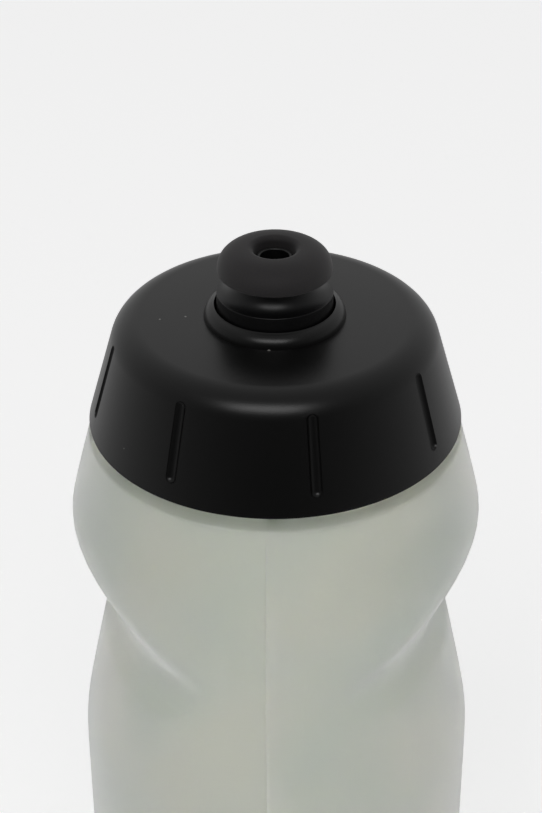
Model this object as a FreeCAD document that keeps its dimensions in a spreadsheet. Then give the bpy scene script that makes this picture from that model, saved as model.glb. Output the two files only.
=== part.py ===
import FreeCAD
import Part
import Sketcher

import os

# Sports squeeze bottle with a screw cap and a push-pull valve.
# Millimetres, +Z up, origin at the centre of the base, on the surface the bottle stands on.
# Every moulded piece is one sub-part: bottle, cap, gasket, stem, slider, O-ring, mouthpiece.

# alias, value (mm, or as said), what it is
SIZES = [
    ("body_radius", 37.0, "cylinder that a bottle cage grips"),
    ("wall", 1.0, "blown wall"),
    ("base_rounding", 5.0, "radius where the wall meets the base"),
    ("foot_inner_radius", 27.0, "inner edge of the ring that the bottle stands on"),
    ("push_up_radius", 23.0, "flat centre of the pushed-up base"),
    ("push_up_height", 4.0, "height of the pushed-up base"),
    ("push_up_rounding", 3.0, "radii of the push-up"),
    ("flare_height", 178.15, "level where cylinder and shoulder flare would meet"),
    ("flare_rounding", 22.0, "radius that joins them"),
    ("ledge_radius", 32.87, "outer edge of the flat shoulder under the cap"),
    ("ledge_height", 193.6, "height of that shoulder"),
    ("ledge_rounding", 0.5, "radius of its edge"),
    ("scoop_top", 176.0, "level where the finger scoops start"),
    ("scoop_waist", 27.9, "half-width where the scoops' flanks would meet"),
    ("scoop_waist_height", 157.6, "level of that meeting"),
    ("scoop_waist_rounding", 5.5, "radius along the deepest line"),
    ("scoop_knee", 32.2, "half-width at the knee of the lower flank"),
    ("scoop_knee_height", 152.6, "level of the knee"),
    ("scoop_knee_rounding", 7.0, "radius along the knee"),
    ("scoop_bottom", 130.4, "level where the scoops run out"),
    ("scoop_offset", 14.0, "how far the scoops' turning axis stands off the bottle's"),
    ("scoop_reach", 12.0, "how far the scoop outlines run on past the wall"),
    ("scoop_turn", 120.0, "degrees that each scoop outline is turned through"),
    ("neck_radius", 25.2, "neck outside, at the root of the thread"),
    ("neck_bore", 23.4, "neck inside"),
    ("neck_top", 211.6, "sealing lip of the neck"),
    ("thread_pitch", 6.0, "rise in one turn of the cap"),
    ("thread_depth", 1.3, "height of a neck thread's tooth"),
    ("cap_thread_depth", 1.25, "height of a cap thread's tooth"),
    ("tooth_root", 3.0, "width of a tooth at its root"),
    ("tooth_crest", 1.4, "width of a tooth at its crest"),
    ("tooth_bury", 0.4, "how deep a tooth starts inside its wall"),
    ("neck_thread_start", 198.6, "middle of the neck thread's lower end"),
    ("neck_thread_rise", 9.0, "height that the neck thread climbs"),
    ("cap_thread_start", 201.6, "middle of the cap thread's lower end, half a pitch up"),
    ("cap_thread_rise", 6.0, "height that the cap thread climbs"),
    ("rim_height", 196.0, "lower edge of the cap"),
    ("rim_radius", 32.74, "outside of that edge"),
    ("cap_top", 215.6, "flat top of the cap"),
    ("cap_corner_radius", 27.12, "where skirt and top would meet"),
    ("cap_rounding", 5.3, "radius of the cap's shoulder"),
    ("cap_plate", 2.0, "thickness of the top"),
    ("cap_wall", 1.84, "thickness of the outer skirt"),
    ("cap_bore", 26.8, "inside of the threaded skirt, at the root of the thread"),
    ("cap_upper_bore", 25.6, "inside of the cap above the thread"),
    ("cap_step", 209.6, "step between the two bores"),
    ("inner_skirt_radius", 29.0, "outside of the threaded skirt"),
    ("inner_skirt_low", 197.2, "lower end of the threaded skirt"),
    ("gap_top", 200.0, "top of the gap between the two skirts"),
    ("gap_top_radius", 29.75, "outside of that gap at its top"),
    ("collar_foot", 12.2, "outside of the collar at the cap's top"),
    ("collar_shoulder", 11.95, "outside of the collar under its sloping rim"),
    ("collar_shoulder_height", 217.25, "level of that shoulder"),
    ("collar_shoulder_rounding", 2.3, "radius of the shoulder"),
    ("collar_rim", 10.62, "foot of the raised edge round the slider"),
    ("collar_rim_height", 217.8, "level of that foot"),
    ("collar_top", 218.05, "top of the raised edge"),
    ("lip_radius", 10.33, "opening of the collar"),
    ("lip_underside", 215.9, "stop that ends the slider's travel"),
    ("well_bore", 10.9, "inside of the well under the lip"),
    ("well_radius", 12.4, "outside of the well"),
    ("well_floor", 205.7, "top of the well's floor"),
    ("well_floor_thickness", 1.5, "thickness of the floor"),
    ("stem_hole", 6.2, "hole in the floor that holds the stem"),
    ("flute_count", 8.0, "grip flutes round the cap"),
    ("flute_turn", 12.0, "degrees from +X to the first flute"),
    ("flute_radius", 1.1, "radius of a flute"),
    ("flute_end_rounding", 1.05, "radius of its ends"),
    ("flute_standoff", 0.4, "how far a flute's axis stands out of the skirt"),
    ("flute_low", 199.0, "lower end of a flute"),
    ("flute_high", 213.0, "upper end of a flute"),
    ("gasket_inside", 21.4, "inner radius of the gasket"),
    ("gasket_outside", 25.3, "outer radius of the gasket"),
    ("gasket_low", 211.65, "underside of the gasket"),
    ("gasket_high", 213.55, "top of the gasket"),
    ("keeper_inside", 20.2, "inner radius of the ring that keeps the gasket in place"),
    ("keeper_outside", 21.2, "outer radius of that ring"),
    ("keeper_low", 211.9, "lower edge of that ring"),
    ("stem_bore", 4.2, "inside of the stem's tube"),
    ("stem_radius", 5.6, "outside of the stem's tube"),
    ("stem_top", 220.8, "open end of the tube"),
    ("stem_flange", 8.5, "flange under the well's floor"),
    ("stem_low", 202.8, "lower end of the stem"),
    ("snap_radius", 6.5, "bead that snaps through the floor"),
    ("snap_height", 0.6, "height of the bead"),
    ("rib_low", 212.5, "lower edge of the three ribs that carry the pin"),
    ("rib_high", 218.5, "upper edge of the ribs"),
    ("rib_thickness", 1.1, "thickness of a rib"),
    ("rib_count", 3.0, "ribs round the pin"),
    ("pin_radius", 1.5, "rod in the middle of the tube"),
    ("plug_radius", 2.2, "head that closes the spout"),
    ("plug_start", 220.6, "level where the rod widens"),
    ("plug_low", 221.3, "lower edge of the head"),
    ("plug_high", 223.6, "upper edge of the head"),
    ("tip_start", 224.6, "level where the rounded tip starts"),
    ("tip_radius", 1.1, "radius of the tip"),
    ("tip_rounding", 1.0, "rounding of the tip"),
    ("tip_top", 225.7, "top of the tip"),
    ("slider_low", 206.0, "lower end of the slider"),
    ("slider_radius", 9.95, "barrel that runs through the collar"),
    ("slider_flange", 10.7, "flanges each side of the O-ring"),
    ("groove_root", 9.05, "root of the O-ring's groove"),
    ("groove_low", 206.9, "lower side of the groove"),
    ("groove_high", 208.9, "upper side of the groove"),
    ("stop_top", 209.8, "stop that meets the collar's lip"),
    ("skirt_bore", 7.6, "inside of the slider's skirt"),
    ("guide_bore", 5.68, "bore that runs on the stem"),
    ("guide_low", 211.5, "lower end of that bore"),
    ("guide_high", 221.4, "upper end of that bore"),
    ("slider_edge", 220.3, "sharp edge at the top of the barrel"),
    ("cove_rounding", 2.7, "radius of the hollow cove above it"),
    ("slider_neck", 7.2, "neck under the mouthpiece"),
    ("head_low", 224.5, "underside of the head"),
    ("head_radius", 8.5, "head that the mouthpiece is pulled over"),
    ("head_edge", 225.4, "upper edge of the head's rim"),
    ("head_flat", 4.6, "flat round the spout"),
    ("head_top", 225.8, "height of that flat"),
    ("spout_outside", 3.08, "outside of the spout"),
    ("spout_bore", 2.4, "inside of the spout"),
    ("spout_top", 226.9, "top of the spout"),
    ("seat_bore", 2.28, "seat that the stem's head closes"),
    ("seat_high", 223.4, "upper end of the seat"),
    ("o_ring_radius", 10.0, "middle of the O-ring's section, from the axis"),
    ("o_ring_section", 0.85, "radius of its section"),
    ("mouth_radius", 9.76, "widest part of the mouthpiece"),
    ("mouth_low", 224.1, "underside of the mouthpiece"),
    ("mouth_edge_rounding", 0.35, "radius of its lower edge"),
    ("dome_side", 226.38, "level where side and dome would meet"),
    ("dome_side_rounding", 3.4, "radius there"),
    ("dome_crown", 6.98, "where dome and crown would meet"),
    ("dome_crown_rounding", 5.0, "radius there"),
    ("mouth_top", 228.5, "top of the mouthpiece"),
    ("mouth_hole", 3.65, "hole round the spout"),
    ("mouth_hole_rounding", 1.15, "radius of the hole's edge"),
]

doc = FreeCAD.newDocument("SqueezeBottle")
sheet = doc.addObject("Spreadsheet::Sheet", "Sizes")
for row, (alias, value, meaning) in enumerate(SIZES, start=1):
    sheet.set("A%d" % row, alias)
    sheet.set("B%d" % row, str(value))
    sheet.set("C%d" % row, meaning)
    sheet.setAlias("B%d" % row, alias)
doc.recompute()
ALIASES = {alias for alias, value, meaning in SIZES}


def size(formula):
    """Present value of a formula written with the sheet's aliases."""
    return float(sheet.evalExpression(formula))


def on_sheet(formula):
    """The same formula as another object has to write it."""
    words = formula.replace("(", "( ").replace(")", " )").split()
    return " ".join("Sizes." + word if word in ALIASES else word for word in words)


def bind(item, path, formula):
    item.setExpression(path, on_sheet(formula))


def origin_feature(body, role):
    return next(item for item in body.Origin.OriginFeatures if item.Role == role)


def sketch_on(body, name, turn="0"):
    """Sketch in a plane through the Z axis, turned about it from the XZ plane."""
    sketch = body.newObject("Sketcher::SketchObject", name)
    sketch.AttachmentSupport = [(origin_feature(body, "XZ_Plane"), "")]
    sketch.MapMode = "FlatFace"
    if turn != "0":
        rotation = FreeCAD.Rotation(FreeCAD.Vector(0, 1, 0), size(turn))
        sketch.AttachmentOffset = FreeCAD.Placement(FreeCAD.Vector(), rotation)
        bind(sketch, ".AttachmentOffset.Rotation.Angle", turn)
    return sketch


def bind_place(sketch, element, end, corner, tag):
    """Hold one point of a sketch at a corner's two formulas."""
    for kind, formula, axis in (("DistanceX", corner[0], -2), ("DistanceY", corner[1], -1)):
        value = size(formula)
        if abs(value) < 1e-9:
            sketch.addConstraint(Sketcher.Constraint("PointOnObject", element, end, axis))
            continue
        index = sketch.addConstraint(Sketcher.Constraint(kind, -1, 1, element, end, value))
        name = "%s_%s" % (kind, tag)
        sketch.renameConstraint(index, name)
        bind(sketch, "Constraints." + name, formula)


def outline(sketch, corners):
    """Closed outline: each corner is (across, up) or (across, up, rounding)."""
    places = [FreeCAD.Vector(size(corner[0]), size(corner[1]), 0) for corner in corners]
    count = len(corners)
    for index in range(count):
        sketch.addGeometry(Part.LineSegment(places[index], places[(index + 1) % count]), False)
    for index in range(count):
        following = (index + 1) % count
        sketch.addConstraint(Sketcher.Constraint("Coincident", index, 2, following, 1))
    for index, corner in enumerate(corners):
        bind_place(sketch, index, 1, corner, str(index))
    for index, corner in enumerate(corners):
        if len(corner) < 3:
            continue
        arc = sketch.GeometryCount
        radius = size(corner[2])
        sketch.fillet(index, 1, radius, True, True)
        rounding = sketch.addConstraint(Sketcher.Constraint("Radius", arc, radius))
        sketch.renameConstraint(rounding, "rounding_%d" % index)
        bind(sketch, "Constraints.rounding_%d" % index, corner[2])


def axis_line(sketch, start, end):
    """Construction line that a feature can turn about, as Axis0."""
    places = [FreeCAD.Vector(size(corner[0]), size(corner[1]), 0) for corner in (start, end)]
    line = sketch.addGeometry(Part.LineSegment(*places), True)
    bind_place(sketch, line, 1, start, "axis_start")
    bind_place(sketch, line, 2, end, "axis_end")


def feature(body, kind, name, **settings):
    item = body.newObject("PartDesign::" + kind, name)
    for key, value in settings.items():
        setattr(item, key, value)
    return item


def turned(body, name, corners):
    """Solid of revolution about Z."""
    sketch = sketch_on(body, name + "_outline")
    outline(sketch, corners)
    return feature(body, "Revolution", name, Profile=sketch,
                   ReferenceAxis=(sketch, ["V_Axis"]), Angle=360.0)


def polar(body, name, originals, count):
    pattern = feature(body, "PolarPattern", name, Originals=originals,
                      Axis=(origin_feature(body, "Z_Axis"), [""]), Angle=360.0,
                      Occurrences=int(size(count)), Refine=False)
    bind(pattern, "Occurrences", count)
    body.Tip = pattern
    return pattern


def helical_tooth(body, name, wall, depth, start, rise):
    """Trapezoid tooth that climbs the wall: depth is positive outwards."""
    sketch = sketch_on(body, name + "_section")
    bury = "%s - tooth_bury" % wall if size(depth) > 0 else "%s + tooth_bury" % wall
    outline(sketch, [
        (bury, "%s - tooth_root / 2" % start),
        (wall, "%s - tooth_root / 2" % start),
        ("%s + %s" % (wall, depth), "%s - tooth_crest / 2" % start),
        ("%s + %s" % (wall, depth), "%s + tooth_crest / 2" % start),
        (wall, "%s + tooth_root / 2" % start),
        (bury, "%s + tooth_root / 2" % start),
    ])
    helix = feature(body, "AdditiveHelix", name, Profile=sketch,
                    ReferenceAxis=(sketch, ["V_Axis"]), Mode="pitch-height-angle",
                    Pitch=size("thread_pitch"), Height=size(rise))
    bind(helix, "Pitch", "thread_pitch")
    bind(helix, "Height", rise)
    return helix


def blown_form(name, inset, top):
    """The bottle's outside with inset 0, and its cavity with inset as the wall."""
    body = doc.addObject("PartDesign::Body", name)
    neck = "neck_radius" if inset == "0" else "neck_bore"
    turned(body, name + "_form", [
        ("0", "push_up_height + " + inset),
        ("push_up_radius", "push_up_height + " + inset, "push_up_rounding"),
        ("foot_inner_radius", inset, "push_up_rounding / 2"),
        ("body_radius - " + inset, inset, "base_rounding - " + inset),
        ("body_radius - " + inset, "flare_height", "flare_rounding"),
        ("ledge_radius - " + inset, "ledge_height - " + inset, "ledge_rounding"),
        (neck, "ledge_height - " + inset),
        (neck, top),
        ("0", top),
    ])
    sketch = sketch_on(body, name + "_scoop_outline")
    reach = "body_radius + scoop_reach"
    lift = "( scoop_top - scoop_waist_height ) / ( body_radius - scoop_waist )"
    drop = "( scoop_knee_height - scoop_bottom ) / ( body_radius - scoop_knee )"
    outline(sketch, [
        (reach, "scoop_top + scoop_reach * %s" % lift),
        ("scoop_waist - " + inset, "scoop_waist_height", "scoop_waist_rounding"),
        ("scoop_knee - " + inset, "scoop_knee_height", "scoop_knee_rounding"),
        (reach, "scoop_bottom - scoop_reach * %s" % drop),
    ])
    axis_line(sketch, ("0 - scoop_offset", "scoop_bottom"), ("0 - scoop_offset", "scoop_top"))
    groove = feature(body, "Groove", name + "_scoop", Profile=sketch,
                     ReferenceAxis=(sketch, ["Axis0"]), Angle=size("scoop_turn"), Midplane=True)
    bind(groove, "Angle", "scoop_turn")
    mirror = feature(body, "Mirrored", name + "_scoops", Originals=[groove],
                     MirrorPlane=(origin_feature(body, "YZ_Plane"), [""]))
    body.Tip = mirror
    return body


def bottle_body():
    outside = blown_form("outside", "0", "neck_top")
    helical_tooth(outside, "neck_thread", "neck_radius", "thread_depth",
                  "neck_thread_start", "neck_thread_rise")
    cavity = blown_form("cavity", "wall", "neck_top + wall")
    shell = doc.addObject("Part::Cut", "bottle_body")
    shell.Base = outside
    shell.Tool = cavity
    return shell


def screw_cap():
    body = doc.addObject("PartDesign::Body", "screw_cap")
    floor = "well_floor - well_floor_thickness"
    underside = "cap_top - cap_plate"
    turned(body, "cap_form", [
        ("stem_hole", "well_floor"),
        ("well_bore", "well_floor"),
        ("well_bore", "lip_underside"),
        ("lip_radius", "lip_underside"),
        ("lip_radius", "collar_top"),
        ("collar_rim", "collar_rim_height"),
        ("collar_shoulder", "collar_shoulder_height", "collar_shoulder_rounding"),
        ("collar_foot", "cap_top"),
        ("cap_corner_radius", "cap_top", "cap_rounding"),
        ("rim_radius", "rim_height"),
        ("rim_radius - cap_wall", "rim_height"),
        ("gap_top_radius", "gap_top"),
        ("inner_skirt_radius", "gap_top"),
        ("inner_skirt_radius", "inner_skirt_low"),
        ("cap_bore", "inner_skirt_low"),
        ("cap_bore", "cap_step"),
        ("cap_upper_bore", "cap_step"),
        ("cap_upper_bore", underside),
        ("keeper_outside", underside),
        ("keeper_outside", "keeper_low"),
        ("keeper_inside", "keeper_low"),
        ("keeper_inside", underside),
        ("well_radius", underside),
        ("well_radius", floor),
        ("stem_hole", floor),
    ])
    helical_tooth(body, "cap_thread", "cap_bore", "-1 * cap_thread_depth",
                  "cap_thread_start", "cap_thread_rise")
    flute = cap_flute(body)
    polar(body, "flutes", [flute], "flute_count")
    return body


def cap_flute(body):
    """Round-ended flute, turned about an axis that runs just outside the skirt."""
    lean = "( rim_radius - cap_corner_radius ) / ( cap_top - rim_height )"
    steep = "( 1 / sqrt( 1 + ( %s ) ^ 2 ) )" % lean

    def beside_skirt(level, out):
        across = "rim_radius - ( %s - rim_height ) * %s + %s * %s" % (level, lean, out, steep)
        up = "%s + %s * %s * %s" % (level, out, lean, steep)
        return across, up

    sketch = sketch_on(body, "flute_outline", "flute_turn")
    axis_out = "( flute_standoff )"
    edge_out = "( flute_standoff - flute_radius )"
    low_edge = beside_skirt("flute_low", edge_out)
    high_edge = beside_skirt("flute_high", edge_out)
    outline(sketch, [
        beside_skirt("flute_low", axis_out),
        beside_skirt("flute_high", axis_out),
        high_edge + ("flute_end_rounding",),
        low_edge + ("flute_end_rounding",),
    ])
    axis_line(sketch, beside_skirt("flute_low", axis_out), beside_skirt("flute_high", axis_out))
    return feature(body, "Groove", "flute", Profile=sketch,
                   ReferenceAxis=(sketch, ["Axis0"]), Angle=360.0, Refine=False)


def cap_gasket():
    body = doc.addObject("PartDesign::Body", "cap_gasket")
    turned(body, "gasket_form", [
        ("gasket_inside", "gasket_low"),
        ("gasket_outside", "gasket_low"),
        ("gasket_outside", "gasket_high"),
        ("gasket_inside", "gasket_high"),
    ])
    return body


def valve_stem():
    body = doc.addObject("PartDesign::Body", "valve_stem")
    floor = "well_floor - well_floor_thickness"
    turned(body, "stem_tube", [
        ("stem_bore", "stem_low"),
        ("stem_flange", "stem_low"),
        ("stem_flange", floor),
        ("stem_hole", floor),
        ("stem_hole", "well_floor"),
        ("snap_radius", "well_floor"),
        ("stem_radius", "well_floor + snap_height"),
        ("stem_radius", "stem_top"),
        ("stem_bore", "stem_top"),
    ])
    sketch = sketch_on(body, "rib_outline")
    outline(sketch, [
        ("pin_radius / 2", "rib_low"),
        ("stem_radius - 1", "rib_low"),
        ("stem_radius - 1", "rib_high"),
        ("pin_radius / 2", "rib_high"),
    ])
    rib = feature(body, "Pad", "rib", Profile=sketch, Length=size("rib_thickness"),
                  Midplane=True)
    bind(rib, "Length", "rib_thickness")
    polar(body, "ribs", [rib], "rib_count")
    pin = turned(body, "pin", [
        ("0", "rib_low"),
        ("pin_radius", "rib_low"),
        ("pin_radius", "plug_start"),
        ("plug_radius", "plug_low"),
        ("plug_radius", "plug_high"),
        ("tip_radius", "tip_start"),
        ("tip_radius", "tip_top", "tip_rounding"),
        ("0", "tip_top"),
    ])
    body.Tip = pin
    return body


def slider_o_ring():
    ring = doc.addObject("Part::Torus", "slider_o_ring")
    bind(ring, "Radius1", "o_ring_radius")
    bind(ring, "Radius2", "o_ring_section")
    bind(ring, "Placement.Base.z", "( groove_low + groove_high ) / 2")
    return ring


def valve_slider():
    body = doc.addObject("PartDesign::Body", "valve_slider")
    turned(body, "slider_form", [
        ("skirt_bore", "slider_low"),
        ("slider_flange", "slider_low"),
        ("slider_flange", "groove_low"),
        ("groove_root", "groove_low"),
        ("groove_root", "groove_high"),
        ("slider_flange", "groove_high"),
        ("slider_flange", "stop_top"),
        ("slider_radius", "stop_top"),
        ("slider_radius", "slider_edge"),
        ("slider_neck", "slider_edge", "cove_rounding"),
        ("slider_neck", "head_low"),
        ("head_radius", "head_low"),
        ("head_radius", "head_edge"),
        ("head_flat", "head_top"),
        ("spout_outside", "head_top"),
        ("spout_outside", "spout_top"),
        ("spout_bore", "spout_top"),
        ("spout_bore", "seat_high"),
        ("seat_bore", "seat_high"),
        ("seat_bore", "guide_high"),
        ("guide_bore", "guide_high"),
        ("guide_bore", "guide_low"),
        ("skirt_bore", "guide_low"),
    ])
    return body


def mouthpiece():
    body = doc.addObject("PartDesign::Body", "mouthpiece")
    turned(body, "mouthpiece_form", [
        ("slider_neck", "mouth_low"),
        ("mouth_radius", "mouth_low", "mouth_edge_rounding"),
        ("mouth_radius", "dome_side", "dome_side_rounding"),
        ("dome_crown", "mouth_top", "dome_crown_rounding"),
        ("mouth_hole", "mouth_top", "mouth_hole_rounding"),
        ("mouth_hole", "head_top"),
        ("head_flat", "head_top"),
        ("head_radius", "head_edge"),
        ("head_radius", "head_low"),
        ("slider_neck", "head_low"),
    ])
    return body


def main():
    makers = [bottle_body, screw_cap, cap_gasket, valve_stem, slider_o_ring, valve_slider,
              mouthpiece]
    pieces = []
    for make in makers:
        piece = make()
        piece.Label = make.__name__
        pieces.append(piece)
        doc.recompute()
    failed = [item.Name for item in doc.Objects
              if "Invalid" in item.State or "Error" in item.State]
    if failed:
        raise RuntimeError("features that failed: %s" % ", ".join(failed))
    for piece in pieces:
        if piece.Shape.isNull() or not piece.Shape.isValid():
            raise RuntimeError("%s has no valid shape" % piece.Label)
        print("%-14s %2d solid  %9.1f mm3" % (piece.Label, len(piece.Shape.Solids),
                                              piece.Shape.Volume))
    os.makedirs("parts", exist_ok=True)
    for piece in pieces:
        piece.Shape.exportStep("parts/%s.step" % piece.Label)


main()
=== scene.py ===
import math

import bmesh
import bpy
from mathutils import Matrix, Vector


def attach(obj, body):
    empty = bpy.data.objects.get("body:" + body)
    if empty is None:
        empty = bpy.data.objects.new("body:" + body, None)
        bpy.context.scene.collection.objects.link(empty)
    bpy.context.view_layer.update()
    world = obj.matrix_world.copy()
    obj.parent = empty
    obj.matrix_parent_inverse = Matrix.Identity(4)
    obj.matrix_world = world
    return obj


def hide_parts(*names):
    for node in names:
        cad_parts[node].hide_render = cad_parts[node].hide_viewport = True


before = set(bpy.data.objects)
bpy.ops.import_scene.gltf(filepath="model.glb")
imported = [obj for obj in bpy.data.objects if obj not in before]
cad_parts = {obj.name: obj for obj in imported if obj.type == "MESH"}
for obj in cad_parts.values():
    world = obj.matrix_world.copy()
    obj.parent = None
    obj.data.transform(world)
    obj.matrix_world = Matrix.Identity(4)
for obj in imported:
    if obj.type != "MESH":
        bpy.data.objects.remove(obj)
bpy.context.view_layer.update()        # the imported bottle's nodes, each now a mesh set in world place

mm = 0.001
arcTurn = 9        # degrees in one step of a rounding, at most
arcLength = 1.2    # millimetres in one step, at most


# small helpers for working in edit mode

def deselectAll():
    if bpy.context.mode != "OBJECT":
        bpy.ops.object.mode_set(mode="OBJECT")
    bpy.ops.object.select_all(action="DESELECT")


def editOnly(piece):
    deselectAll()
    piece.select_set(True)
    bpy.context.view_layer.objects.active = piece
    bpy.ops.object.mode_set(mode="EDIT")


def pickVertices(piece, wanted):
    mesh = bmesh.from_edit_mesh(piece.data)
    bpy.ops.mesh.select_mode(type="VERT")
    for vertex in mesh.verts:
        vertex.select_set(bool(wanted(vertex.co)))
    mesh.select_flush_mode()
    bmesh.update_edit_mesh(piece.data)


def useModifier(piece, kind, **settings):
    deselectAll()
    piece.select_set(True)
    bpy.context.view_layer.objects.active = piece
    modifier = piece.modifiers.new(kind.title(), kind)
    for key, value in settings.items():
        setattr(modifier, key, value)
    bpy.ops.object.modifier_apply(modifier=modifier.name)


def joinPieces(pieces, name):
    deselectAll()
    for piece in pieces:
        piece.select_set(True)
    bpy.context.view_layer.objects.active = pieces[0]
    bpy.ops.object.join()
    pieces[0].name = name
    return pieces[0]


def smoothShade(piece, angle=38):
    deselectAll()
    piece.select_set(True)
    bpy.context.view_layer.objects.active = piece
    bpy.ops.object.shade_smooth_by_angle(angle=math.radians(angle))


# outlines: corners are (radius, height) or (radius, height, rounding), all in millimetres

def roundOutline(corners, closed=True, longest=None):
    points = []
    count = len(corners)
    for index, corner in enumerate(corners):
        here = Vector(corner[:2])
        if len(corner) < 3:
            points.append(here)
            continue
        before = Vector(corners[index - 1][:2]) - here
        after = Vector(corners[(index + 1) % count][:2]) - here
        half = before.angle(after) / 2
        reach = corner[2] / math.tan(half)
        first = here + before.normalized() * reach
        last = here + after.normalized() * reach
        between = (before.normalized() + after.normalized()).normalized()
        middle = here + between * (corner[2] / math.sin(half))
        turn = math.pi - 2 * half
        steps = max(2, math.ceil(math.degrees(turn) / arcTurn), math.ceil(corner[2] * turn / arcLength))
        side = 1 if (first - middle).cross(last - middle) > 0 else -1
        for step in range(steps + 1):
            swing = Matrix.Rotation(side * turn * step / steps, 2)
            points.append(middle + swing @ (first - middle))
    if longest is None:
        return points
    finer = []
    pairs = zip(points, points[1:] + points[:1]) if closed else zip(points, points[1:])
    for start, end in pairs:
        cuts = max(1, math.ceil((end - start).length / longest))
        finer += [start.lerp(end, cut / cuts) for cut in range(cuts)]
    return finer if closed else finer + [points[-1]]


def drawLine(name, points):
    # a plane merged to one vertex, then extruded from point to point
    deselectAll()
    bpy.ops.mesh.primitive_plane_add(size=mm, location=(0, 0, 0))
    piece = bpy.context.active_object
    piece.name = name
    bpy.ops.object.mode_set(mode="EDIT")
    bpy.ops.mesh.select_mode(type="VERT")
    bpy.ops.mesh.select_all(action="SELECT")
    bpy.ops.mesh.merge(type="CENTER")
    bpy.ops.transform.translate(value=points[0])
    for start, end in zip(points, points[1:]):
        bpy.ops.mesh.extrude_region_move(TRANSFORM_OT_translate={"value": end - start})
    return piece


def turnPiece(name, corners, steps=160, closed=True, longest=None):
    # the outline is spun once round the bottle's axis
    outline = [Vector((point.x * mm, 0, point.y * mm)) for point in roundOutline(corners, closed, longest)]
    piece = drawLine(name, outline)
    if closed:
        mesh = bmesh.from_edit_mesh(piece.data)
        mesh.verts.ensure_lookup_table()
        for vertex in (mesh.verts[0], mesh.verts[-1]):
            vertex.select_set(True)
        bpy.ops.mesh.edge_face_add()
    bpy.ops.mesh.select_all(action="SELECT")
    bpy.ops.mesh.spin(steps=steps, angle=math.tau, center=(0, 0, 0), axis=(0, 0, 1))
    bpy.ops.mesh.select_all(action="SELECT")
    bpy.ops.mesh.remove_doubles(threshold=0.002 * mm)
    bpy.ops.mesh.normals_make_consistent(inside=False)
    bpy.ops.object.mode_set(mode="OBJECT")
    return piece


def threadTooth(name, wall, depth, start, rise, shape):
    # a trapezoid section carried up the wall by the Screw modifier, its two ends closed
    root, crest, bury, pitch = shape["root"], shape["crest"], shape["bury"], shape["pitch"]
    inwards = 1 if depth > 0 else -1
    section = [(wall - bury * inwards, -root / 2), (wall, -root / 2), (wall + depth, -crest / 2),
               (wall + depth, crest / 2), (wall, root / 2), (wall - bury * inwards, root / 2)]
    piece = drawLine(name, [Vector((across * mm, 0, (start + up) * mm)) for across, up in section])
    bpy.ops.mesh.select_all(action="SELECT")
    bpy.ops.mesh.edge_face_add()
    bpy.ops.object.mode_set(mode="OBJECT")
    turns = rise / pitch
    steps = round(shape["stepsPerTurn"] * turns)
    useModifier(piece, "SCREW", angle=math.tau * turns, screw_offset=rise * mm, steps=steps,
                render_steps=steps, use_merge_vertices=True, merge_threshold=0.001 * mm)
    editOnly(piece)
    bpy.ops.mesh.select_all(action="SELECT")
    bpy.ops.mesh.remove_doubles(threshold=0.001 * mm)
    bpy.ops.mesh.select_all(action="DESELECT")
    bpy.ops.mesh.select_mode(type="EDGE")
    bpy.ops.mesh.select_non_manifold(extend=False)
    bpy.ops.mesh.edge_face_add()
    bpy.ops.mesh.select_all(action="SELECT")
    bpy.ops.mesh.normals_make_consistent(inside=False)
    bpy.ops.object.mode_set(mode="OBJECT")
    return piece


threadShape = {"root": 3.0, "crest": 1.4, "bury": 0.4, "pitch": 6.0, "stepsPerTurn": 96}

# materials

def linearColor(hexColor, alpha=1.0):
    channels = [int(hexColor[place:place + 2], 16) / 255 for place in (1, 3, 5)]
    return [c / 12.92 if c <= 0.04045 else ((c + 0.055) / 1.055) ** 2.4 for c in channels] + [alpha]


def addNode(tree, kind, settings=None, links=None, **properties):
    node = tree.nodes.new("ShaderNode" + kind)
    for key, value in properties.items():
        setattr(node, key, value)
    for key, value in (settings or {}).items():
        node.inputs[key].default_value = value
    for key, source in (links or {}).items():
        tree.links.new(source, node.inputs[key])
    return node


def newMaterial(name, viewColor):
    material = bpy.data.materials.new(name)
    material.use_nodes = True
    material.diffuse_color = linearColor(viewColor)
    tree = material.node_tree
    shader = tree.nodes["Principled BSDF"]
    place = addNode(tree, "TexCoord").outputs["Object"]
    return material, tree, shader, place


def setShader(shader, **values):
    names = {"roughness": "Roughness", "ior": "IOR", "subsurface": "Subsurface Weight",
             "scatterRadius": "Subsurface Radius", "scatterScale": "Subsurface Scale",
             "sheen": "Sheen Weight", "sheenRoughness": "Sheen Roughness",
             "coat": "Coat Weight", "coatRoughness": "Coat Roughness"}
    for key, value in values.items():
        shader.inputs[names[key]].default_value = value


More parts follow.
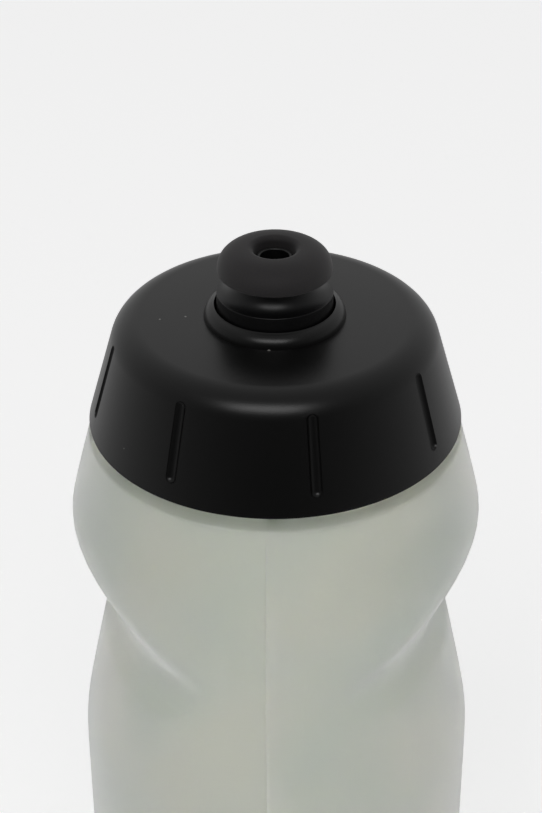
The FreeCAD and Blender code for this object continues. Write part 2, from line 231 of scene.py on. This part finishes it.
def blownPolyethylene():
    # low-density polyethylene, blow moulded: milky and cloudy through, satin outside, with faint lines
    # drawn down by the die; the paler, less clear band beside the mould's parting line is a painted highlight
    look = {"color": "#f8f8f0", "cloud": "#eef2ec", "cloudSize": 30, "streakWidth": 1.6, "streakLength": 60,
            "pebble": 0.5, "clear": 0.9, "highlightClear": 0.6, "highlightWidth": 4.6}
    material, tree, shader, place = newMaterial("blownPolyethylene", "#b2b5aa")
    stretched = addNode(tree, "Mapping", {"Scale": (1, 1, look["streakWidth"] / look["streakLength"])},
                        {"Vector": place})
    streaks = addNode(tree, "TexNoise", {"Scale": 1 / (look["streakWidth"] * mm), "Detail": 2},
                      {"Vector": stretched.outputs["Vector"]})
    clouds = addNode(tree, "TexNoise", {"Scale": 1 / (look["cloudSize"] * mm), "Detail": 1},
                     {"Vector": place})
    cloudy = addNode(tree, "MapRange", {"From Min": 0.4, "From Max": 0.6}, {"Value": clouds.outputs["Fac"]})
    color = addNode(tree, "Mix", {"A": linearColor(look["color"]), "B": linearColor(look["cloud"])},
                    {"Factor": cloudy.outputs["Result"]}, data_type="RGBA")
    tree.links.new(color.outputs["Result"], shader.inputs["Base Color"])
    # painted highlight: just beside the parting line the wall is made less clear, so it reads paler, standing
    # in for the reflection of a narrow light
    seamTurn = (0, 0, -math.radians(bottleShape["seamTurn"]))
    turned = addNode(tree, "Mapping", {"Rotation": seamTurn}, {"Vector": place})
    across = addNode(tree, "SeparateXYZ", None, {"Vector": turned.outputs["Vector"]}).outputs["X"]
    highlightFade = addNode(tree, "MapRange", {"From Max": look["highlightWidth"] * mm, "To Min": 1, "To Max": 0},
                   {"Value": across}, interpolation_type="SMOOTHSTEP")
    edge = addNode(tree, "MapRange", {"From Min": -0.3 * mm, "From Max": 0.2 * mm}, {"Value": across})
    highlightSides = {0: highlightFade.outputs["Result"], 1: edge.outputs["Result"]}
    paintedHighlight = addNode(tree, "Math", None, highlightSides, operation="MULTIPLY")
    clear = addNode(tree, "MapRange", {"To Min": look["clear"], "To Max": look["highlightClear"]},
                    {"Value": paintedHighlight.outputs["Value"]})
    tree.links.new(clear.outputs["Result"], shader.inputs["Transmission Weight"])
    pebbles = addNode(tree, "TexNoise", {"Scale": 1 / (look["pebble"] * mm), "Detail": 1}, {"Vector": place})
    pebbleBump = addNode(tree, "Bump", {"Strength": 0.12, "Distance": 0.05 * mm},
                         {"Height": pebbles.outputs["Fac"]})
    streakBump = addNode(tree, "Bump", {"Strength": 0.25, "Distance": 0.12 * mm},
                         {"Height": streaks.outputs["Fac"], "Normal": pebbleBump.outputs["Normal"]})
    tree.links.new(streakBump.outputs["Normal"], shader.inputs["Normal"])
    tree.links.new(streakBump.outputs["Normal"], shader.inputs["Coat Normal"])
    setShader(shader, roughness=0.6, ior=1.51, subsurface=1.0, scatterRadius=(1.0, 1.05, 0.85),
              scatterScale=1 * mm, coat=0.4, coatRoughness=0.28, sheen=0.8, sheenRoughness=0.5)
    return material


def erodedPolypropylene():
    # polypropylene, injection moulded in a spark-eroded tool: black, dull, with a fine even grain and dust
    look = {"color": "#080808", "grain": 0.28, "dust": "#8d8c88", "dustSpacing": 9.0}
    material, tree, shader, place = newMaterial("erodedPolypropylene", look["color"])
    grain = addNode(tree, "TexNoise", {"Scale": 1 / (look["grain"] * mm), "Detail": 3, "Roughness": 0.6},
                    {"Vector": place})
    bump = addNode(tree, "Bump", {"Strength": 0.35, "Distance": 0.03 * mm}, {"Height": grain.outputs["Fac"]})
    tree.links.new(bump.outputs["Normal"], shader.inputs["Normal"])
    rough = addNode(tree, "MapRange", {"To Min": 0.26, "To Max": 0.36}, {"Value": grain.outputs["Fac"]})
    tree.links.new(rough.outputs["Result"], shader.inputs["Roughness"])
    specks = addNode(tree, "TexVoronoi", {"Scale": 1 / (look["dustSpacing"] * mm)}, {"Vector": place})
    near = addNode(tree, "Math", {1: 0.03}, {0: specks.outputs["Distance"]}, operation="LESS_THAN")
    color = addNode(tree, "Mix", {"A": linearColor(look["color"]), "B": linearColor(look["dust"])},
                    {"Factor": near.outputs["Value"]}, data_type="RGBA")
    tree.links.new(color.outputs["Result"], shader.inputs["Base Color"])
    setShader(shader, ior=1.49)
    return material


def mouldedPolypropylene(name, roughness):
    # polypropylene, injection moulded in a polished tool: black, semi-gloss, with slight flow waviness
    material, tree, shader, place = newMaterial(name, "#0a0a0b")
    waves = addNode(tree, "TexNoise", {"Scale": 1 / (2.5 * mm), "Detail": 2}, {"Vector": place})
    bump = addNode(tree, "Bump", {"Strength": 0.12, "Distance": 0.03 * mm}, {"Height": waves.outputs["Fac"]})
    tree.links.new(bump.outputs["Normal"], shader.inputs["Normal"])
    wear = addNode(tree, "MapRange", {"To Min": roughness - 0.05, "To Max": roughness + 0.05},
                   {"Value": waves.outputs["Fac"]})
    tree.links.new(wear.outputs["Result"], shader.inputs["Roughness"])
    shader.inputs["Base Color"].default_value = linearColor("#0a0a0b")
    setShader(shader, ior=1.49)
    return material


def softElastomer():
    # thermoplastic elastomer, moulded matt: a soft dark grey bloom with a fine speckle, lighter at
    # glancing angles
    look = {"color": "#1f1d1e", "bloom": "#2e2b2c", "grain": 0.22}
    material, tree, shader, place = newMaterial("softElastomer", look["color"])
    grain = addNode(tree, "TexNoise", {"Scale": 1 / (look["grain"] * mm), "Detail": 3, "Roughness": 0.65},
                    {"Vector": place})
    color = addNode(tree, "Mix", {"A": linearColor(look["color"]), "B": linearColor(look["bloom"])},
                    {"Factor": grain.outputs["Fac"]}, data_type="RGBA")
    tree.links.new(color.outputs["Result"], shader.inputs["Base Color"])
    bump = addNode(tree, "Bump", {"Strength": 0.5, "Distance": 0.03 * mm}, {"Height": grain.outputs["Fac"]})
    tree.links.new(bump.outputs["Normal"], shader.inputs["Normal"])
    setShader(shader, roughness=0.72, ior=1.5, sheen=0.12, sheenRoughness=0.5)
    return material


def siliconeRubber(name, hexColor, roughness):
    # silicone or nitrile rubber, compression moulded: smooth with a slight haze
    material, tree, shader, place = newMaterial(name, hexColor)
    haze = addNode(tree, "TexNoise", {"Scale": 1 / (0.8 * mm), "Detail": 2}, {"Vector": place})
    dull = addNode(tree, "MapRange", {"To Min": roughness - 0.06, "To Max": roughness + 0.06},
                   {"Value": haze.outputs["Fac"]})
    tree.links.new(dull.outputs["Result"], shader.inputs["Roughness"])
    shader.inputs["Base Color"].default_value = linearColor(hexColor)
    setShader(shader, ior=1.43)
    return material


def dress(piece, material, body, node):
    piece.data.materials.clear()
    piece.data.materials.append(material)
    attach(piece, body)
    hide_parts(node)
    print(piece.name, "made,", len(piece.data.polygons), "faces")


# bottle body

bottleShape = {
    "radius": 37.0, "wall": 1.0, "baseRounding": 5.0, "footRadius": 27.0, "pushUpRadius": 23.0, "pushUp": 4.0,
    "flareHeight": 178.15, "flareRounding": 22.0, "ledgeRadius": 32.87, "ledgeHeight": 193.6,
    "neckRadius": 25.2, "neckBore": 23.4, "neckTop": 211.6,
    "scoopTop": (37.0, 176.0), "scoopWaist": (27.9, 157.6), "scoopKnee": (32.2, 152.6),
    "scoopBottom": (37.0, 130.4), "waistRounding": 8.0, "kneeRounding": 7.0, "scoopOffset": 14.0,
    "scoopSoftness": 0.8, "pressLow": 100, "pressHigh": 185,
    "seamTurn": -2.8, "seamHeight": 0.13, "seamWidth": 0.28, "seamLow": 1, "seamGap": 0.5, "seamInset": 6,
    "threadDepth": 1.3, "threadLow": 198.6, "threadRise": 9.0,
}


def scoopHalfWidth(shape):
    # half-width of the body between the two scoops, at any height
    keys = ("scoopTop", "scoopWaist", "scoopKnee", "scoopBottom")
    top, waist, knee, bottom = (Vector(shape[key]) for key in keys)
    outline = roundOutline([
        tuple(top + (top - waist) * 2), tuple(waist) + (shape["waistRounding"],),
        tuple(knee) + (shape["kneeRounding"],), tuple(bottom + (bottom - knee) * 2),
    ], closed=False)
    outline.reverse()

    def halfWidth(height):
        for low, high in zip(outline, outline[1:]):
            if low.y <= height <= high.y:
                return low.x + (high.x - low.x) * (height - low.y) / (high.y - low.y)
        return 2 * shape["radius"]
    return halfWidth


def pressScoops(piece, shape):
    # finger scoops: each side is held inside a larger circle whose centre stands off to the other side
    halfWidth = scoopHalfWidth(shape)
    offset, softness = shape["scoopOffset"], shape["scoopSoftness"]
    for vertex in piece.data.vertices:
        place = vertex.co / mm
        if not shape["pressLow"] < place.z < shape["pressHigh"]:
            continue
        radius = math.hypot(place.x, place.y)
        inset = shape["wall"] if radius < shape["radius"] - shape["wall"] / 2 else 0
        toSide = abs(place.x) / radius
        reach = halfWidth(place.z) - inset + offset
        limit = math.sqrt((offset * toSide) ** 2 - offset ** 2 + reach ** 2) - offset * toSide
        over = radius - limit
        pressed = radius - (over + math.sqrt(over * over + softness ** 2)) / 2
        vertex.co.xy *= pressed / radius


def raiseSeam(piece, shape):
    # the mould's parting line: three close cuts through the axis, the middle one raised
    turn = math.radians(shape["seamTurn"])
    across = Vector((math.cos(turn), math.sin(turn), 0))
    for shift in (-1, 0, 1):
        editOnly(piece)
        bpy.ops.mesh.select_all(action="SELECT")
        cut = across * shift * shape["seamWidth"] * mm
        bpy.ops.mesh.bisect(plane_co=cut, plane_no=across, threshold=0.001 * mm)
    bpy.ops.object.mode_set(mode="OBJECT")
    high = shape["ledgeHeight"] - shape["seamGap"]
    for vertex in piece.data.vertices:
        radius = math.hypot(vertex.co.x, vertex.co.y) / mm
        height = vertex.co.z / mm
        outside = radius > shape["ledgeRadius"] - shape["seamInset"] and shape["seamLow"] < height < high
        if outside and vertex.normal.xy.dot(vertex.co.xy) > 0 and abs(vertex.co.dot(across)) < 0.01 * mm:
            vertex.co.xy *= 1 + shape["seamHeight"] / radius


def makeBottle():
    shape = bottleShape
    wall = shape["wall"]
    outside = [
        (0, shape["pushUp"]), (shape["pushUpRadius"], shape["pushUp"], 3), (shape["footRadius"], 0, 1.5),
        (shape["radius"], 0, shape["baseRounding"]),
        (shape["radius"], shape["flareHeight"], shape["flareRounding"]),
        (shape["ledgeRadius"], shape["ledgeHeight"], 0.5), (shape["neckRadius"], shape["ledgeHeight"], 0.5),
        (shape["neckRadius"], shape["neckTop"], 0.35),
    ]
    inside = [
        (shape["neckBore"], shape["neckTop"], 0.35), (shape["neckBore"], shape["ledgeHeight"] - wall, 0.5),
        (shape["ledgeRadius"] - wall, shape["ledgeHeight"] - wall, 0.9),
        (shape["radius"] - wall, shape["flareHeight"], shape["flareRounding"]),
        (shape["radius"] - wall, wall, shape["baseRounding"] - wall), (shape["footRadius"], wall, 1.5),
        (shape["pushUpRadius"], shape["pushUp"] + wall, 3), (0, shape["pushUp"] + wall),
    ]
    body = turnPiece("bottleBody", outside + inside, steps=224, closed=False, longest=1.6)
    pressScoops(body, shape)
    raiseSeam(body, shape)
    thread = threadTooth("neckThread", shape["neckRadius"], shape["threadDepth"], shape["threadLow"],
                         shape["threadRise"], threadShape)
    body = joinPieces([body, thread], "bottleBody")
    smoothShade(body)
    return body


dress(makeBottle(), blownPolyethylene(), "bottle", "bottle_body")

# screw cap

capShape = {
    "rim": (32.74, 196.0), "corner": (27.12, 215.6), "rounding": 5.3, "wall": 1.84, "plateBottom": 213.6,
    "lip": 10.33, "collarTop": 218.05, "collarRim": (10.62, 217.8), "collarShoulder": (11.95, 217.25),
    "shoulderRounding": 2.3, "collarFoot": 12.2,
    "wellBore": 10.9, "wellRadius": 12.4, "lipUnderside": 215.9, "wellFloor": 205.7, "wellBottom": 204.2,
    "stemHole": 6.2, "skirtRadius": 29.0, "skirtLow": 197.2, "bore": 26.8, "upperBore": 25.6, "step": 209.6,
    "gapTop": (29.75, 200.0), "keeper": (20.2, 21.2, 211.9),
    "flutes": 8, "fluteTurn": 12.0, "fluteRadius": 1.1, "fluteStandoff": 0.4,
    "fluteLow": 200.1, "fluteHigh": 211.9, "threadDepth": -1.25, "threadLow": 201.6, "threadRise": 6.0,
}


def fluteCutters(shape):
    # a sphere pulled out to a round-ended bar, leant to the skirt and copied round the cap
    rim, corner = Vector(shape["rim"]), Vector(shape["corner"])
    along = (corner - rim).normalized()
    outwards = Vector((along.y, -along.x))
    slope = (corner.x - rim.x) / (corner.y - rim.y)
    foot = Vector((rim.x + (shape["fluteLow"] - rim.y) * slope, shape["fluteLow"]))
    foot += outwards * shape["fluteStandoff"]
    length = (shape["fluteHigh"] - shape["fluteLow"]) / along.y
    deselectAll()
    bpy.ops.mesh.primitive_uv_sphere_add(segments=32, ring_count=16, radius=shape["fluteRadius"] * mm,
                                         location=(0, 0, 0))
    cutter = bpy.context.active_object
    cutter.name = "flute"
    bpy.ops.object.mode_set(mode="EDIT")
    bpy.ops.mesh.select_all(action="DESELECT")
    pickVertices(cutter, lambda place: place.z > 0.01 * mm)
    bpy.ops.transform.translate(value=(0, 0, length * mm))
    bpy.ops.object.mode_set(mode="OBJECT")
    lean = Matrix.Rotation(math.atan2(along.x, along.y), 4, "Y")
    cutter.data.transform(Matrix.Translation((foot.x * mm, 0, foot.y * mm)) @ lean)
    copies = []
    for number in range(shape["flutes"]):
        copy = cutter.copy()
        copy.data = cutter.data.copy()
        turn = math.radians(shape["fluteTurn"]) + math.tau * number / shape["flutes"]
        copy.data.transform(Matrix.Rotation(turn, 4, "Z"))
        bpy.context.scene.collection.objects.link(copy)
        copies.append(copy)
    bpy.data.objects.remove(cutter)
    return joinPieces(copies, "fluteCutters")


def makeCap():
    shape = capShape
    keeperIn, keeperOut, keeperLow = shape["keeper"]
    plate = shape["plateBottom"]
    cap = turnPiece("screwCap", [
        (shape["stemHole"], shape["wellFloor"]), (shape["wellBore"], shape["wellFloor"], 0.4),
        (shape["wellBore"], shape["lipUnderside"], 0.15), (shape["lip"], shape["lipUnderside"], 0.15),
        (shape["lip"], shape["collarTop"], 0.1), shape["collarRim"],
        shape["collarShoulder"] + (shape["shoulderRounding"],), (shape["collarFoot"], shape["corner"][1]),
        shape["corner"] + (shape["rounding"],),
        shape["rim"] + (0.25,), (shape["rim"][0] - shape["wall"], shape["rim"][1], 0.25),
        shape["gapTop"] + (0.2,), (shape["skirtRadius"], shape["gapTop"][1], 0.2),
        (shape["skirtRadius"], shape["skirtLow"], 0.4), (shape["bore"], shape["skirtLow"], 0.4),
        (shape["bore"], shape["step"], 0.3), (shape["upperBore"], shape["step"], 0.3),
        (shape["upperBore"], plate, 0.3), (keeperOut, plate, 0.3), (keeperOut, keeperLow, 0.3),
        (keeperIn, keeperLow, 0.3), (keeperIn, plate, 0.3), (shape["wellRadius"], plate, 0.5),
        (shape["wellRadius"], shape["wellBottom"], 0.5), (shape["stemHole"], shape["wellBottom"]),
    ], steps=192)
    cutters = fluteCutters(shape)
    useModifier(cap, "BOOLEAN", operation="DIFFERENCE", object=cutters, solver="EXACT")
    bpy.data.objects.remove(cutters)
    thread = threadTooth("capThread", shape["bore"], shape["threadDepth"], shape["threadLow"],
                         shape["threadRise"], threadShape)
    cap = joinPieces([cap, thread], "screwCap")
    smoothShade(cap, 34)
    return cap


dress(makeCap(), erodedPolypropylene(), "cap", "screw_cap")

# gasket

gasketShape = {"inside": 21.4, "outside": 25.3, "low": 211.65, "high": 213.55, "rounding": 0.3}


def makeGasket():
    shape = gasketShape
    inside, outside, low, high = (shape[key] for key in ("inside", "outside", "low", "high"))
    places = ((inside, low), (outside, low), (outside, high), (inside, high))
    gasket = turnPiece("capGasket", [place + (shape["rounding"],) for place in places])
    smoothShade(gasket)
    return gasket


dress(makeGasket(), siliconeRubber("whiteSilicone", "#cfcfca", 0.35), "cap_seal", "cap_gasket")

# valve stem with its pin

stemShape = {"bore": 4.2, "radius": 5.6, "top": 220.8, "low": 202.8, "flange": 8.5, "hole": 6.2,
             "snap": 6.5, "snapHeight": 0.6,
             "ribLow": 212.5, "ribHigh": 218.5, "ribThickness": 1.1, "ribs": 3, "pinRadius": 1.5,
             "plugRadius": 2.2, "plugStart": 220.6, "plugLow": 221.3, "plugHigh": 223.6,
             "tipRadius": 1.1, "tipStart": 224.6, "tipTop": 225.7}


def makeStem():
    shape = stemShape
    floor, floorTop = capShape["wellBottom"], capShape["wellFloor"]
    tube = turnPiece("valveStem", [
        (shape["bore"], shape["low"], 0.3), (shape["flange"], shape["low"], 0.3), (shape["flange"], floor),
        (shape["hole"], floor), (shape["hole"], floorTop), (shape["snap"], floorTop, 0.1),
        (shape["radius"], floorTop + shape["snapHeight"], 0.2), (shape["radius"], shape["top"], 0.3),
        (shape["bore"], shape["top"], 0.3),
    ], steps=96)
    pin = turnPiece("sealingPin", [
        (0, shape["ribLow"]), (shape["pinRadius"], shape["ribLow"], 0.3),
        (shape["pinRadius"], shape["plugStart"], 0.3),
        (shape["plugRadius"], shape["plugLow"], 0.15), (shape["plugRadius"], shape["plugHigh"], 0.15),
        (shape["tipRadius"], shape["tipStart"], 0.15), (shape["tipRadius"], shape["tipTop"], 0.95),
        (0, shape["tipTop"]),
    ], steps=64, closed=False)
    ribs = []
    for number in range(shape["ribs"]):
        deselectAll()
        bpy.ops.mesh.primitive_cube_add(size=mm, location=(0, 0, 0))
        rib = bpy.context.active_object
        bpy.ops.object.mode_set(mode="EDIT")
        inner, outer = shape["pinRadius"] / 2, (shape["bore"] + shape["radius"]) / 2
        low, high = shape["ribLow"], shape["ribHigh"]
        bpy.ops.transform.resize(value=(outer - inner, shape["ribThickness"], high - low))
        bpy.ops.transform.translate(value=((inner + outer) / 2 * mm, 0, (low + high) / 2 * mm))
        bpy.ops.mesh.bevel(offset=0.2 * mm, segments=2)
        bpy.ops.object.mode_set(mode="OBJECT")
        rib.data.transform(Matrix.Rotation(math.tau * number / shape["ribs"], 4, "Z"))
        ribs.append(rib)
    stem = joinPieces([tube, pin] + ribs, "valveStem")
    smoothShade(stem)
    return stem


dress(makeStem(), mouldedPolypropylene("polishedPolypropylene", 0.16), "cap", "valve_stem")

# slider, its O-ring and its mouthpiece

sliderShape = {"low": 206.0, "radius": 9.95, "flange": 10.7, "grooveRoot": 9.05, "grooveLow": 206.9,
               "grooveHigh": 208.9, "stopTop": 209.8, "skirtBore": 7.6, "guideBore": 5.68, "guideLow": 211.5,
               "guideHigh": 221.4, "edge": 220.3, "neck": 7.2, "cove": 2.7,
               "headLow": 224.5, "headRadius": 8.5, "headEdge": 225.4,
               "headFlat": 4.6, "headTop": 225.8, "spoutOut": 3.08, "spoutBore": 2.4, "spoutTop": 226.9,
               "seatBore": 2.28, "seatHigh": 223.4}


def makeSlider():
    shape = sliderShape
    slider = turnPiece("valveSlider", [
        (shape["skirtBore"], shape["low"], 0.2), (shape["flange"], shape["low"], 0.2),
        (shape["flange"], shape["grooveLow"], 0.1), (shape["grooveRoot"], shape["grooveLow"], 0.1),
        (shape["grooveRoot"], shape["grooveHigh"], 0.1), (shape["flange"], shape["grooveHigh"], 0.1),
        (shape["flange"], shape["stopTop"], 0.15), (shape["radius"], shape["stopTop"], 0.15),
        (shape["radius"], shape["edge"], 0.15), (shape["neck"], shape["edge"], shape["cove"]),
        (shape["neck"], shape["headLow"]),
        (shape["headRadius"], shape["headLow"]), (shape["headRadius"], shape["headEdge"]),
        (shape["headFlat"], shape["headTop"]), (shape["spoutOut"], shape["headTop"], 0.15),
        (shape["spoutOut"], shape["spoutTop"], 0.25), (shape["spoutBore"], shape["spoutTop"], 0.25),
        (shape["spoutBore"], shape["seatHigh"], 0.05), (shape["seatBore"], shape["seatHigh"], 0.05),
        (shape["seatBore"], shape["guideHigh"], 0.1), (shape["guideBore"], shape["guideHigh"], 0.2),
        (shape["guideBore"], shape["guideLow"], 0.2), (shape["skirtBore"], shape["guideLow"], 0.2),
    ], steps=128)
    smoothShade(slider)
    return slider


dress(makeSlider(), mouldedPolypropylene("satinPolypropylene", 0.38), "valve", "valve_slider")

ringShape = {"radius": 10.0, "section": 0.85}


def makeRing():
    height = (sliderShape["grooveLow"] + sliderShape["grooveHigh"]) / 2
    deselectAll()
    bpy.ops.mesh.primitive_torus_add(major_segments=128, minor_segments=24, location=(0, 0, 0),
                                     major_radius=ringShape["radius"] * mm,
                                     minor_radius=ringShape["section"] * mm)
    ring = bpy.context.active_object
    ring.name = "sliderRing"
    bpy.ops.object.mode_set(mode="EDIT")
    bpy.ops.transform.translate(value=(0, 0, height * mm))
    bpy.ops.object.mode_set(mode="OBJECT")
    smoothShade(ring)
    return ring


dress(makeRing(), siliconeRubber("nitrileRubber", "#1b1b1c", 0.4), "valve_seal", "slider_o_ring")

mouthShape = {"radius": 9.76, "low": 224.1, "top": 228.5, "level": 224.65, "crown": 4.65, "power": 2.18,
              "hole": 3.65, "holeRounding": 0.95, "domeSteps": 18}


def makeMouthpiece():
    shape = mouthShape
    wide, tall = shape["radius"] - shape["crown"], shape["top"] - shape["level"]
    dome = []
    for step in range(1, shape["domeSteps"]):
        swing = math.radians(90 * step / shape["domeSteps"])
        dome.append((shape["crown"] + wide * math.cos(swing) ** (2 / shape["power"]),
                     shape["level"] + tall * math.sin(swing) ** (2 / shape["power"])))
    mouthpiece = turnPiece("softMouthpiece", [
        (sliderShape["neck"], shape["low"]), (shape["radius"], shape["low"], 0.3),
        (shape["radius"], shape["level"]),
    ] + dome + [
        (shape["crown"], shape["top"]), (shape["hole"], shape["top"], shape["holeRounding"]),
        (shape["hole"], sliderShape["headTop"]),
        (sliderShape["headFlat"], sliderShape["headTop"]),
        (sliderShape["headRadius"], sliderShape["headEdge"]),
        (sliderShape["headRadius"], sliderShape["headLow"]), (sliderShape["neck"], sliderShape["headLow"]),
    ], steps=128)
    smoothShade(mouthpiece)
    return mouthpiece


dress(makeMouthpiece(), softElastomer(), "valve", "mouthpiece")

# floor, light and camera

studio = {"floor": "#f0f0f0", "floorGlow": 0.485, "floorSize": 40, "back": 0.59, "front": 0.05,
          "lens": 82.91, "distance": 0.3296, "target": (-0.00075, 0.0, 0.19692), "pitch": 32.45, "roll": -0.3,
          "lightDistance": 4, "lightElevation": 47, "lightAzimuth": -97, "lightSize": (3.0, 1.5),
          "lightPower": 40, "lightAim": (0, 0, 0.2)}


def makeFloor():
    deselectAll()
    bpy.ops.mesh.primitive_plane_add(size=studio["floorSize"], location=(0, 0, 0))
    floor = bpy.context.active_object
    floor.name = "floor"
    material, tree, shader, place = newMaterial("paperSweep", studio["floor"])
    # white background paper, with a very faint tooth
    tooth = addNode(tree, "TexNoise", {"Scale": 1 / (1.2 * mm)}, {"Vector": place})
    bump = addNode(tree, "Bump", {"Strength": 0.02, "Distance": 0.05 * mm}, {"Height": tooth.outputs["Fac"]})
    tree.links.new(bump.outputs["Normal"], shader.inputs["Normal"])
    shader.inputs["Base Color"].default_value = linearColor(studio["floor"])
    shader.inputs["Emission Color"].default_value = linearColor("#ffffff")
    shader.inputs["Emission Strength"].default_value = studio["floorGlow"]
    setShader(shader, roughness=0.9)
    floor.data.materials.append(material)
    floor.visible_glossy = False


def makeSky():
    # soft room light: pale behind the bottle, dim on the near side
    world = bpy.data.worlds.new("studio")
    bpy.context.scene.world = world
    world.use_nodes = True
    tree = world.node_tree
    background = tree.nodes["Background"]
    direction = addNode(tree, "TexCoord").outputs["Generated"]
    parts = addNode(tree, "SeparateXYZ", None, {"Vector": direction})
    depth = addNode(tree, "MapRange", {"From Min": -1, "From Max": 1, "To Min": studio["front"],
                                       "To Max": studio["back"]}, {"Value": parts.outputs["Y"]})
    tree.links.new(depth.outputs["Result"], background.inputs["Strength"])
    background.inputs["Color"].default_value = (1, 1, 1, 1)


def softLight(name, distance, elevation, azimuth, size, power):
    light = bpy.data.lights.new(name, "AREA")
    light.shape = "RECTANGLE"
    light.size, light.size_y = size
    light.energy = power
    lamp = bpy.data.objects.new(name, light)
    swing = Matrix.Rotation(math.radians(azimuth), 4, "Z") @ Matrix.Rotation(math.radians(-elevation), 4, "Y")
    aim = Vector(studio["lightAim"])
    lamp.location = aim + swing @ Vector((distance, 0, 0))
    lamp.rotation_euler = (aim - lamp.location).to_track_quat("-Z", "Y").to_euler()
    bpy.context.scene.collection.objects.link(lamp)


def makeCamera():
    camera = bpy.data.cameras.new("camera")
    camera.lens = studio["lens"]
    camera.sensor_width = 36
    pitch = math.radians(studio["pitch"])
    back = Vector((0, -math.cos(pitch), math.sin(pitch))) * studio["distance"]
    holder = bpy.data.objects.new("camera", camera)
    holder.matrix_world = (Matrix.Translation(Vector(studio["target"]) + back)
                           @ Matrix.Rotation(math.pi / 2 - pitch, 4, "X")
                           @ Matrix.Rotation(math.radians(studio["roll"]), 4, "Z"))
    bpy.context.scene.collection.objects.link(holder)
    bpy.context.scene.camera = holder


makeFloor()
makeSky()
softLight("softbox", studio["lightDistance"], studio["lightElevation"], studio["lightAzimuth"],
          studio["lightSize"], studio["lightPower"])
makeCamera()
bpy.context.scene.view_settings.view_transform = "Standard"
bpy.context.scene.cycles.diffuse_bounces = 8
bpy.context.scene.cycles.transmission_bounces = 24
bpy.context.scene.cycles.max_bounces = 32
print("stage made")
